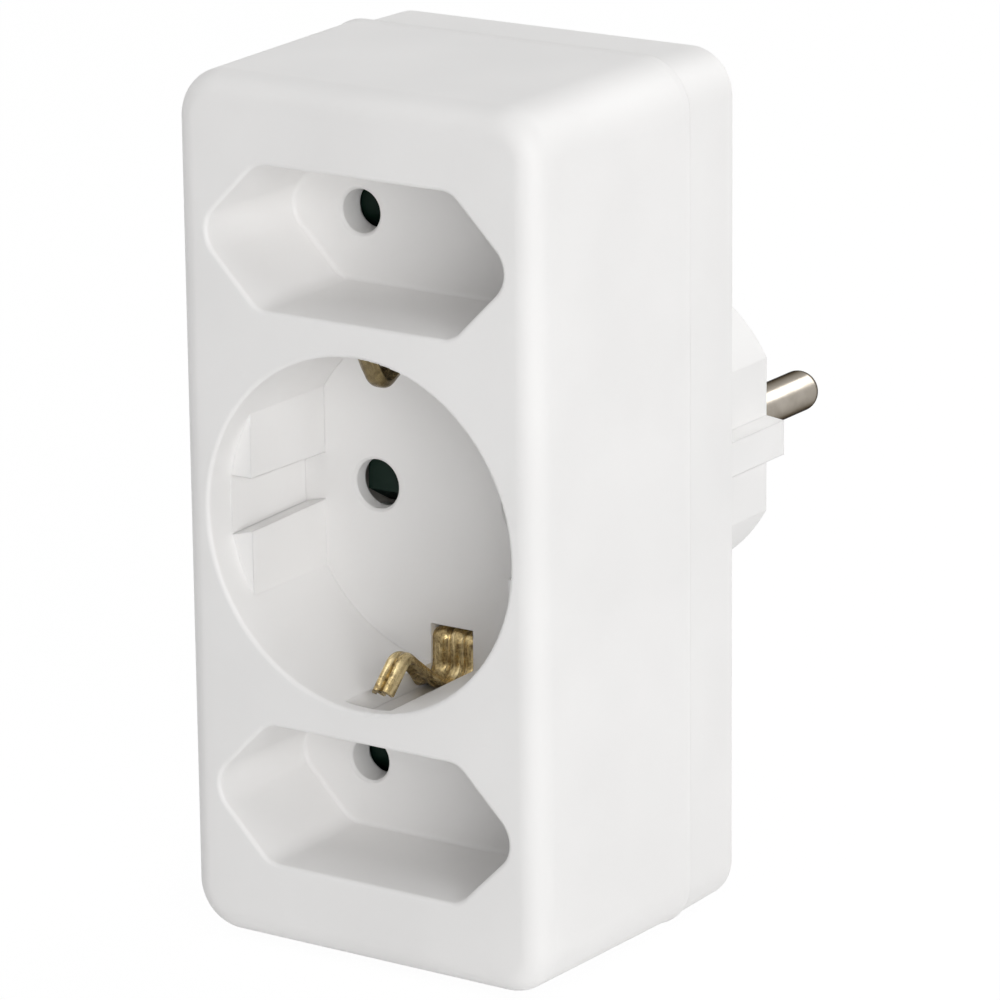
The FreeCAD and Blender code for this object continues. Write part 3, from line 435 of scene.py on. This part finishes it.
def lean_out(drawn):
    """Corners of the band's front edge move back to the bead, onto a line from the front round."""
    in_ring = (drawn[:, 1] > BAND_RING[0]) & (drawn[:, 1] < BAND_RING[1])
    depth = drawn[:, 1] + BEAD_BACK * in_ring
    core, way, reach = reach_past(drawn, OPEN_HALF - SHELL_DRAFT * (OPEN_Y - depth)[:, None])
    ring = in_ring & (reach > CORNER_R - BAND_SKIN)
    line = CORNER_R + LEAN * (depth - FRONT_ROUND_END) / (BEAD_Y - FRONT_ROUND_END)
    drawn[ring] = np.stack([core[ring, 0] + way[ring, 0] * line[ring], depth[ring],
                            core[ring, 1] + way[ring, 1] * line[ring]], axis=1)
    print("band corners moved:", int(ring.sum()))


def ease_well(drawn):
    """The two slots of the round well close in round the earth strip, and its side grooves slope."""
    in_slot = (drawn[:, 1] > SLOT_FRONT) & (drawn[:, 1] < SLOT_BACK)
    slot_side = in_slot & (abs(abs(drawn[:, 0]) - SLOT_HALF) < NEAR)
    drawn[slot_side, 0] *= SLOT_SNUG / SLOT_HALF
    ledge = (abs(abs(drawn[:, 0]) - GROOVE_WALL) < NEAR) & (abs(drawn[:, 2] - LEDGE_Z) < LEDGE_SPAN)
    drawn[ledge, 2] -= GROOVE_DROP
    print("slot and groove corners moved:", int(slot_side.sum()), int(ledge.sum()))


def sit_low(places):
    """The cover's outer corners at its bottom and left move outwards by one step each."""
    drawn = on_drawing(places)
    _, _, reach = reach_past(drawn, OPEN_HALF)
    skin = (drawn[:, 1] > OPEN_Y - NEAR) & (reach > CORNER_R - COVER_SKIN)
    low = skin & (drawn[:, 2] < -OPEN_HALF[1] / 2)
    left = skin & (drawn[:, 0] < -OPEN_HALF[0] / 2)
    drawn[low, 2] -= COVER_LOW
    drawn[left, 0] -= COVER_LEFT
    print("cover corners moved:", int((low | left).sum()))
    return spot(drawn)


print("shell easing ready, near means within", NEAR, "mm")

# %% [markdown]
# ## The pin holes and the shutters, eased
#
# The pin holes stand a quarter of a millimetre further out on each side. Those of the two flat outlets
# are slightly narrower, and their walls run 1.6 mm deeper, down to shutters whose front face sits as
# much deeper, so that one looks into a longer lit hole before the dark begins. The round outlet's
# shutter keeps its place, but its ramps start lower, so that its flat green face fills most of the hole.

# %% Ease the shells and the shutters
PIN_X, PIN_WIDER = 9.5, 0.25
HOLE_ROUND = 0.35
SHUTTER_DEEPER = 1.6
FLAT_HOLES = {"floor": 15.5, "back": 17.4, "hole_r": 2.6, "seen_r": 2.46, "deeper": SHUTTER_DEEPER}
ROUND_HOLES = {"floor": 17.7, "back": 19.6, "hole_r": 2.8, "seen_r": 2.8, "deeper": 0.0}
OUTLET_STEP = 31.1
HOLES_AT = {OUTLET_STEP: FLAT_HOLES, 0.0: ROUND_HOLES, -OUTLET_STEP: FLAT_HOLES}
SHUTTER_FRONT, POCKET_FLOOR = 17.7, 19.5
CENTRE_FRONT = 19.9
RAMP_TOP, RAMP_RISE = 0.1, 3.4
RAMP_TOP_SEEN = -1.3
HUB_R = 4.8


def move_pin_holes(drawn, z, floor, back, hole_r, seen_r, deeper):
    """Corners on the two holes of an outlet move to the wider spacing and to the radius that is seen."""
    for side in (-1, 1):
        away = drawn[:, [0, 2]] - [side * PIN_X, z]
        in_floor = abs(drawn[:, 1] - (floor + back) / 2) < (back - floor) / 2 + NEAR
        at_hole = in_floor & (np.linalg.norm(away, axis=1) < hole_r + HOLE_ROUND)
        drawn[at_hole, 0] = side * (PIN_X + PIN_WIDER) + away[at_hole, 0] * seen_r / hole_r
        drawn[at_hole, 2] = z + away[at_hole, 1] * seen_r / hole_r
        rim = at_hole & (drawn[:, 1] > back - NEAR)
        drawn[rim, 1] += deeper
        print("pin hole corners moved:", int(at_hole.sum()), "of them on the back rim:", int(rim.sum()))


def ease_housing(places):
    """The outline of the housing first, then its round well, then the pin holes of each outlet."""
    drawn = on_drawing(places)
    lean_out(drawn)
    ease_well(drawn)
    for z, holes in HOLES_AT.items():
        move_pin_holes(drawn, z, **holes)
    return spot(drawn)


def sit_deep(places):
    """The front of a flat outlet's shutter moves back, with all that lies before its spring's pocket."""
    drawn = on_drawing(places)
    before = drawn[:, 1] < POCKET_FLOOR - NEAR
    left = (POCKET_FLOOR - drawn[before, 1]) / (POCKET_FLOOR - SHUTTER_FRONT)
    drawn[before, 1] = POCKET_FLOOR - left * (POCKET_FLOOR - SHUTTER_FRONT - SHUTTER_DEEPER)
    print("shutter corners moved:", int(before.sum()))
    return spot(drawn)


def steepen_ramps(places):
    """Both ramps of the round outlet's shutter begin lower on its front face and end where they did."""
    drawn = on_drawing(places)
    side = -np.sign(drawn[:, 0])
    climbed = drawn[:, 1] - CENTRE_FRONT
    on_line = abs(drawn[:, 2] * side - (RAMP_TOP - climbed)) < NEAR
    on_ramp = on_line & (abs(drawn[:, 0]) > HUB_R - NEAR) & (climbed < RAMP_RISE + NEAR)
    slope = (RAMP_RISE - RAMP_TOP + RAMP_TOP_SEEN) / RAMP_RISE
    drawn[on_ramp, 2] = side[on_ramp] * (RAMP_TOP_SEEN - slope * climbed[on_ramp])
    print("ramp corners moved:", int(on_ramp.sum()))
    return spot(drawn)


smooth_copy("front_housing", ease_housing)
smooth_copy("rear_cover", sit_low)
smooth_copy("centre_shutter", steepen_ramps)
smooth_copy("upper_shutter", sit_deep)
smooth_copy("lower_shutter", sit_deep)

# %% [markdown]
# ## Surfaces from a profile and a path
#
# A folded strip and a wire are both a profile carried along a path. The path is an array of points, and
# each point gets two directions to draw the profile in: one that stays level with the strip's width, and
# one that stands square to it and to the path. All the rings of the surface are then one array
# expression, and the faces are the grid between neighbouring rings.

# %% Grid of rings to a closed mesh


def rings_to_mesh(name, rings):
    """rings[i, j] is point j of closed ring i. Each ring joins the next, and the two ends are capped."""
    count, around = rings.shape[:2]
    i = np.arange(count - 1)[:, None]
    j = np.arange(around)[None, :]
    following = (j + 1) % around
    quads = np.stack([i * around + j, i * around + following, (i + 1) * around + following,
                      (i + 1) * around + j], axis=-1).reshape(-1, 4)
    first_cap = list(range(around))[::-1]
    last_cap = list(range((count - 1) * around, count * around))
    mesh = bpy.data.meshes.new(name)
    mesh.from_pydata(rings.reshape(-1, 3).tolist(), [], quads.tolist() + [first_cap, last_cap])
    mesh.shade_smooth()
    return mesh


def outward(mesh):
    """Turns every face outwards where the volume that they enclose comes out negative."""
    places = np.array([v.co for v in mesh.vertices])
    mesh.calc_loop_triangles()
    corners = np.array([t.vertices for t in mesh.loop_triangles])
    a, b, c = places[corners[:, 0]], places[corners[:, 1]], places[corners[:, 2]]
    volume = np.einsum("ij,ij->i", a, np.cross(b, c)).sum() / 6
    if volume < 0:
        mesh.flip_normals()
    return abs(volume)


def rounded_path(corners, radii, step):
    """Polyline through the corners with each inner corner replaced by an arc of its own radius.

    An arc starts radius * tan(turn / 2) before its corner. Points are spaced about step apart.
    """
    corners = np.asarray(corners, float)
    pieces = []
    start = corners[0]
    for i in range(1, len(corners) - 1):
        before = corners[i] - corners[i - 1]
        after = corners[i + 1] - corners[i]
        before = before / np.linalg.norm(before)
        after = after / np.linalg.norm(after)
        turn = math.acos(np.clip(before @ after, -1, 1))
        reach = radii[i - 1] * math.tan(turn / 2)
        into = corners[i] - before * reach
        inward = after - before * (before @ after)
        inward = inward / np.linalg.norm(inward)
        run = max(2, round(np.linalg.norm(into - start) / step))
        pieces.append(start + (into - start) * np.linspace(0, 1, run, endpoint=False)[:, None])
        bend = max(4, round(radii[i - 1] * turn / step))
        angle = np.linspace(0, turn, bend, endpoint=False)[:, None]
        pieces.append(into + radii[i - 1] * (np.sin(angle) * before + (1 - np.cos(angle)) * inward))
        start = corners[i] + after * reach
    run = max(2, round(np.linalg.norm(corners[-1] - start) / step))
    pieces.append(start + (corners[-1] - start) * np.linspace(0, 1, run)[:, None])
    return np.concatenate(pieces)


print("path helper ready")

# %% [markdown]
# ## The earth springs
#
# One brass strip makes both earth contacts. It runs up behind the outlets, comes forward through a slot
# at the top and bottom of the round well, and each end is a sprung finger: down into its channel, over a
# hump that presses on the plug, and down again to the tip. The upper finger stands a little further
# forward than the lower one, as hand-set springs do.
#
# To make the thin sheet stiff, the tool curls it. Behind the hump it widens to a band of 5.2 mm with two
# flutes along it. On the finger it is 2.35 mm wide and arched over the hump. Near the lower tip a groove
# splits the arch into two small rolls, so that the end looks like a letter m. So the section is an arch
# whose sides, flutes and groove each have a depth that changes along the strip.

# %% Path of the strip
STRIP_T = 0.5
STRIP_W = 5.2
FINGER_W = 2.35
LEG_Z = 15.3
BASE_Y = 17.8
BASE_Z = 20.6
VALLEY = (14.9, 20.6)
LOWER_HUMP, LOWER_TIP = (7.7, 14.87), (4.0, 18.4)
UPPER_HUMP, UPPER_TIP = (4.5, 15.2), (2.6, 19.0)
BEND_RADII = [1.7, 2.4, 1.9, 1.1, 1.1]
STEP = 0.2
SECTION_POINTS = 41


def strip_path():
    """Straight runs with an arc at each bend: from the lower tip, up behind, down to the upper tip."""
    bridge_low, bridge_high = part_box("socket_earth_bracket")
    bridge_y = (bridge_high.y - FRONT_Y) / MM - STRIP_T / 2
    folds = [VALLEY, (BASE_Y, BASE_Z), (BASE_Y, LEG_Z), (bridge_y, LEG_Z)]
    lower = [(y, -z) for y, z in [LOWER_TIP, LOWER_HUMP] + folds]
    upper = [UPPER_TIP, UPPER_HUMP] + folds
    return rounded_path(lower + upper[::-1], BEND_RADII + BEND_RADII[::-1], STEP)


route = strip_path()
steps = np.linalg.norm(np.diff(route, axis=0), axis=1)
travelled = np.concatenate([[0], np.cumsum(steps)])
from_tip = np.minimum(travelled, travelled[-1] - travelled)
on_lower_half = travelled < travelled[-1] / 2
print("strip:", len(route), "rings,", round(travelled[-1], 1), "mm long")

# %% [markdown]
# ## The section along the strip
#
# `fade` is the usual smooth step, 3 t^2 - 2 t^3. With it, each depth of the section is a short line: it
# says where along the strip the depth starts and where it is full. `across` runs from -1 to 1 over the
# width. The arch is a cosine of its square, so that the crown is broad and the sides hang down by `arch`.
# The groove at the tip and the two flutes of the band are narrow dips in it.

# %% Section of the strip
WIDENS = (8.0, 14.0)
FLUTES_START = (11.0, 15.0)
CURL_ENDS = (24.0, 27.0)
UPPER_TIP_CURLS = (1.0, 5.0)
LOWER_GROOVE_ENDS = (2.5, 6.0)
ARCH, ARCH_LIFT = 0.95, 0.3
BAND_FLATTER, UPPER_TIP_FLATTER = 0.45, 0.75
TIP_GROOVE, TIP_GROOVE_HALF = 0.85, 0.3
FLUTES = [
    {"middle": -0.2, "half": 0.16, "depth": 0.5},
    {"middle": 0.56, "half": 0.12, "depth": 0.35},
]
EDGE_WIDTH, EDGE_ANGLE = 0.1, 40


def fade(distance, start, end):
    """0 before start, 1 after end, and 3 t^2 - 2 t^3 between them."""
    t = np.clip((distance - start) / (end - start), 0, 1)
    return t * t * (3 - 2 * t)


def dip(across, middle, half, depth):
    """Narrow valley in the section: depth * exp(-((across - middle) / half)^2)."""
    return depth * np.exp(-((across - middle) / half) ** 2)


def strip_section(away, lower):
    """Middle line (x, height) of every ring. away is its distance from the nearer tip.

    x = width / 2 * across and height = arch * (cos(pi / 2 * across^2) - 1) - groove - flutes, raised by
    a share of the arch. Each of these depths fades on its own. lower is true on the lower half.
    """
    across = np.linspace(-1, 1, SECTION_POINTS)[None, :]
    behind = fade(away, *WIDENS)[:, None]
    curled = 1 - fade(away, *CURL_ENDS)
    width = FINGER_W + (STRIP_W - FINGER_W) * behind
    flat_tip = 1 - UPPER_TIP_FLATTER * (1 - fade(away, *UPPER_TIP_CURLS)) * (1 - lower)
    arch = ARCH * (1 - BAND_FLATTER * behind) * (flat_tip * curled)[:, None]
    grooved = (1 - fade(away, *LOWER_GROOVE_ENDS)) * lower
    fluted = fade(away, *FLUTES_START) * curled
    groove = grooved[:, None] * dip(across, 0.0, TIP_GROOVE_HALF, TIP_GROOVE)
    flutes = fluted[:, None] * sum(dip(across, **flute) for flute in FLUTES)
    height = arch * (np.cos(np.pi / 2 * across ** 2) - 1) - groove - flutes
    return width / 2 * across, height + ARCH_LIFT * arch


def earth_strip():
    """Sheet of even thickness round the middle line: each side is the line moved along its own normal."""
    x, height = strip_section(from_tip, on_lower_half)
    dx = np.gradient(x, axis=1)
    dh = np.gradient(height, axis=1)
    size = np.hypot(dx, dh)
    shift_x, shift_h = -dh / size * STRIP_T / 2, dx / size * STRIP_T / 2
    outer = np.stack([x + shift_x, height + shift_h], axis=-1)
    inner = np.stack([x - shift_x, height - shift_h], axis=-1)[:, ::-1]
    section = np.concatenate([outer, inner], axis=1)
    along = np.gradient(route, axis=0)
    along = along / np.linalg.norm(along, axis=1)[:, None]
    square = np.stack([-along[:, 1], along[:, 0]], axis=1)
    y = route[:, 0][:, None] + square[:, 0][:, None] * section[..., 1]
    z = route[:, 1][:, None] + square[:, 1][:, None] * section[..., 1]
    rings = np.stack([section[..., 0], y, z], axis=-1)
    mesh = rings_to_mesh("earth_strip", spot(rings))
    volume = outward(mesh)
    mesh.set_sharp_from_angle(angle=CRISP_ANGLE)
    return mesh, volume


strip_mesh, strip_volume = earth_strip()
strip = finish_piece("socket_earth_strip", strip_mesh, "socket_earth_bracket")
soften = strip.modifiers.new("stamped_edges", "BEVEL")
soften.width = EDGE_WIDTH * MM
soften.segments = 2
soften.limit_method = "ANGLE"
soften.angle_limit = math.radians(EDGE_ANGLE)
print("earth strip:", len(strip_mesh.polygons), "faces,", round(strip_volume * 1e9), "cubic mm")

# %% [markdown]
# ## The shutter springs
#
# Behind each outlet a two-winged shutter closes the pin holes. A torsion spring of fine wire turns it
# back. The wire is a helix with a straight leg at each end. A ring of points is carried along it, and
# its directions are passed on from point to point, each time made square to the wire again, because a
# wire that turns from a coil into a leg has no one direction that stays square to it. The front leg lies
# in the shutter, the rear leg in the carrier, and the coil between them.

# %% Wire springs
WIRE_R = 0.18
COIL_R = 3.1
COIL_PITCH = 0.5
COIL_TURNS = 2.5
LEG_OUT = 2.4
LEG_GAP = 0.3
WIRE_POINTS, COIL_POINTS, LEG_POINTS, RISE_POINTS = 10, 100, 8, 6


def wire_mesh(name, path, radius):
    """Round wire along a path: each ring is radius * (cos a * first + sin a * second) about its point."""
    along = np.gradient(path, axis=0)
    along = along / np.linalg.norm(along, axis=1)[:, None]
    first = np.zeros_like(path)
    guide = np.array([0.0, 1.0, 0.0])
    for i, direction in enumerate(along):
        guide = guide - direction * (guide @ direction)
        guide = guide / np.linalg.norm(guide)
        first[i] = guide
    second = np.cross(along, first)
    angle = np.linspace(0, 2 * np.pi, WIRE_POINTS, endpoint=False)[None, :, None]
    rings = path[:, None] + radius * (np.cos(angle) * first[:, None] + np.sin(angle) * second[:, None])
    mesh = rings_to_mesh(name, spot(rings))
    outward(mesh)
    return mesh


def shutter_spring(node):
    """The helix climbs COIL_PITCH for each turn. Its place comes from the construction piece's box.

    A leg's first point is LEG_GAP away from the coil, so that the wire bends instead of breaking.
    """
    low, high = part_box(node)
    middle_z = ((low.z + high.z) / 2 - MIDDLE_Z) / MM
    start_y = (low.y - FRONT_Y) / MM + WIRE_R
    end_y = (high.y - FRONT_Y) / MM
    turn = np.linspace(0, 2 * np.pi * COIL_TURNS, COIL_POINTS)
    coil = np.stack([COIL_R * np.cos(turn), start_y + COIL_PITCH * turn / (2 * np.pi),
                     middle_z + COIL_R * np.sin(turn)], axis=1)
    leg = np.linspace(LEG_OUT, LEG_GAP, LEG_POINTS)[:, None] * np.array([1.0, 0, 0]) + coil[0]
    climb = np.linspace(LEG_GAP, end_y - coil[-1][1], RISE_POINTS)
    rise = climb[:, None] * np.array([0, 1.0, 0]) + coil[-1]
    mesh = wire_mesh(node + "_wire", np.concatenate([leg, coil, rise]), WIRE_R)
    winds_from = spot([0.0, start_y + WIRE_R, middle_z])
    winds_to = spot([0.0, start_y + COIL_PITCH * COIL_TURNS, middle_z])
    finish_piece(node + "_wire", mesh, node, (node.removesuffix("_spring"), winds_from, winds_to))


for node in SPRINGS:
    shutter_spring(node)
print("springs:", len(SPRINGS))

# %% [markdown]
# ## The camera
#
# The picture was taken with a long lens, a little above the adapter and to its right, so its upright
# edges stay nearly parallel. The camera looks at a point 20 mm behind the middle of the front face. Its
# three directions follow from the angle round the adapter, the angle above it and a slight roll.

# %% Camera
AZIMUTH = math.radians(33.860)
ELEVATION = math.radians(16.295)
ROLL = math.radians(-0.604)
DISTANCE = 631.43
AIM_DEPTH = 20.0
SIDE_STEP, UP_STEP = 4.122, -0.808
LENS = 209.0
SENSOR = 36.0

back = np.array([math.sin(AZIMUTH) * math.cos(ELEVATION), -math.cos(AZIMUTH) * math.cos(ELEVATION),
                 math.sin(ELEVATION)])
level = np.array([math.cos(AZIMUTH), math.sin(AZIMUTH), 0.0])
upward = np.cross(back, level)
right = math.cos(ROLL) * level + math.sin(ROLL) * upward
top = -math.sin(ROLL) * level + math.cos(ROLL) * upward
eye = spot(np.array([0.0, AIM_DEPTH, 0.0]) + back * DISTANCE + right * SIDE_STEP + top * UP_STEP)

camera_data = bpy.data.cameras.new("camera")
camera_data.lens = LENS
camera_data.sensor_width = SENSOR
camera = bpy.data.objects.new("camera", camera_data)
bpy.context.scene.collection.objects.link(camera)
placed = np.eye(4)
placed[:3, 0], placed[:3, 1], placed[:3, 2], placed[:3, 3] = right, top, back, eye
camera.matrix_world = Matrix(placed.tolist())
bpy.context.scene.camera = camera
print("camera at", [round(v, 3) for v in eye])

# %% [markdown]
# ## Floor, light and background
#
# The adapter stands in a white studio. The key lamp is a soft one, ahead of it and to its right: it
# makes the right side the brightest face and shines into the outlets far enough to light their left
# walls and floors, while their right halves stay in soft shade. One lamp hangs above, one behind puts
# the bright streak on the pins, and a weak one fills from the left. The world fills the rest. The floor
# is white, and most of what the camera sees of it is plain white, so that only a faint shadow is left.

# %% Studio
FLOOR_SIZE = 3.0
FLOOR_GLOW = 1.02
SHADOW_SHARE = 0.05
PAPER = "#F4F4F4"
NEARLY_REAR = (0.0, 1.0, 0.001)
LAMPS = {
    "key_softbox": {"from": (0.76, -0.61, 0.20), "size": 0.6, "power": 5.9},
    "top_softbox": {"from": (0.05, -0.10, 0.95), "size": 0.7, "power": 2.1},
    "back_softbox": {"from": (0.28, 0.80, 0.55), "size": 0.5, "power": 2.6},
    "left_softbox": {"from": (-0.93, -0.15, 0.30), "size": 0.8, "power": 1.7},
}
WORLD_LEVEL = 0.26


def seen_directly(tree):
    """1 for rays from the camera, from a mirror or through glass, and 0 for light on other things."""
    path = add_node(tree, "ShaderNodeLightPath")
    direct = add_node(tree, "ShaderNodeMath", {0: path.outputs["Is Camera Ray"],
                                               1: path.outputs["Is Glossy Ray"]}, operation="ADD")
    either = add_node(tree, "ShaderNodeMath", {0: direct.outputs[0],
                                               1: path.outputs["Is Transmission Ray"]},
                      operation="ADD", use_clamp=True)
    return either.outputs[0]


def studio_floor():
    """Level square of white paper under the adapter, mostly shown as plain white light."""
    half = FLOOR_SIZE / 2
    mesh = bpy.data.meshes.new("floor")
    corners = [(-half, -half, 0), (half, -half, 0), (half, half, 0), (-half, half, 0)]
    mesh.from_pydata(corners, [], [(0, 1, 2, 3)])
    floor = bpy.data.objects.new("floor", mesh)
    bpy.context.scene.collection.objects.link(floor)
    material, tree, output = new_material("white_paper")
    paper = add_node(tree, "ShaderNodeBsdfDiffuse", {"Color": colour(PAPER)})
    glow = add_node(tree, "ShaderNodeEmission", {"Color": (1, 1, 1, 1), "Strength": FLOOR_GLOW})
    share = add_node(tree, "ShaderNodeMath", {0: seen_directly(tree), 1: 1 - SHADOW_SHARE},
                     operation="MULTIPLY")
    mixed = add_node(tree, "ShaderNodeMixShader", {0: share.outputs[0], 1: paper.outputs[0],
                                                   2: glow.outputs[0]})
    tree.links.new(mixed.outputs[0], output.inputs["Surface"])
    mesh.materials.append(material)


def studio_lamps():
    """Square area lamps that face the adapter's middle, turned level with the help of NEARLY_REAR."""
    target = np.array([0.0, 0.0, MIDDLE_Z])
    for name, lamp in LAMPS.items():
        data = bpy.data.lights.new(name, "AREA")
        data.shape = "SQUARE"
        data.size = lamp["size"]
        data.energy = lamp["power"]
        made = bpy.data.objects.new(name, data)
        bpy.context.scene.collection.objects.link(made)
        away = np.array(lamp["from"]) - target
        away = away / np.linalg.norm(away)
        side = np.cross(NEARLY_REAR, away)
        side = side / np.linalg.norm(side)
        turned = np.eye(4)
        turned[:3, 0], turned[:3, 1], turned[:3, 2] = side, np.cross(away, side), away
        turned[:3, 3] = lamp["from"]
        made.matrix_world = Matrix(turned.tolist())


def studio_world():
    """Even light for the shadows, and a white background behind everything."""
    world = bpy.data.worlds.new("studio")
    world.use_nodes = True
    tree = world.node_tree
    tree.nodes.clear()
    strength = between(tree, seen_directly(tree), WORLD_LEVEL, 1.0, start=0.0, end=1.0)
    sky = add_node(tree, "ShaderNodeBackground", {"Color": (1, 1, 1, 1), "Strength": strength})
    output = add_node(tree, "ShaderNodeOutputWorld")
    tree.links.new(sky.outputs[0], output.inputs["Surface"])
    bpy.context.scene.world = world


studio_floor()
studio_lamps()
studio_world()
bpy.context.scene.view_settings.view_transform = "Standard"
print("lamps:", len(LAMPS))
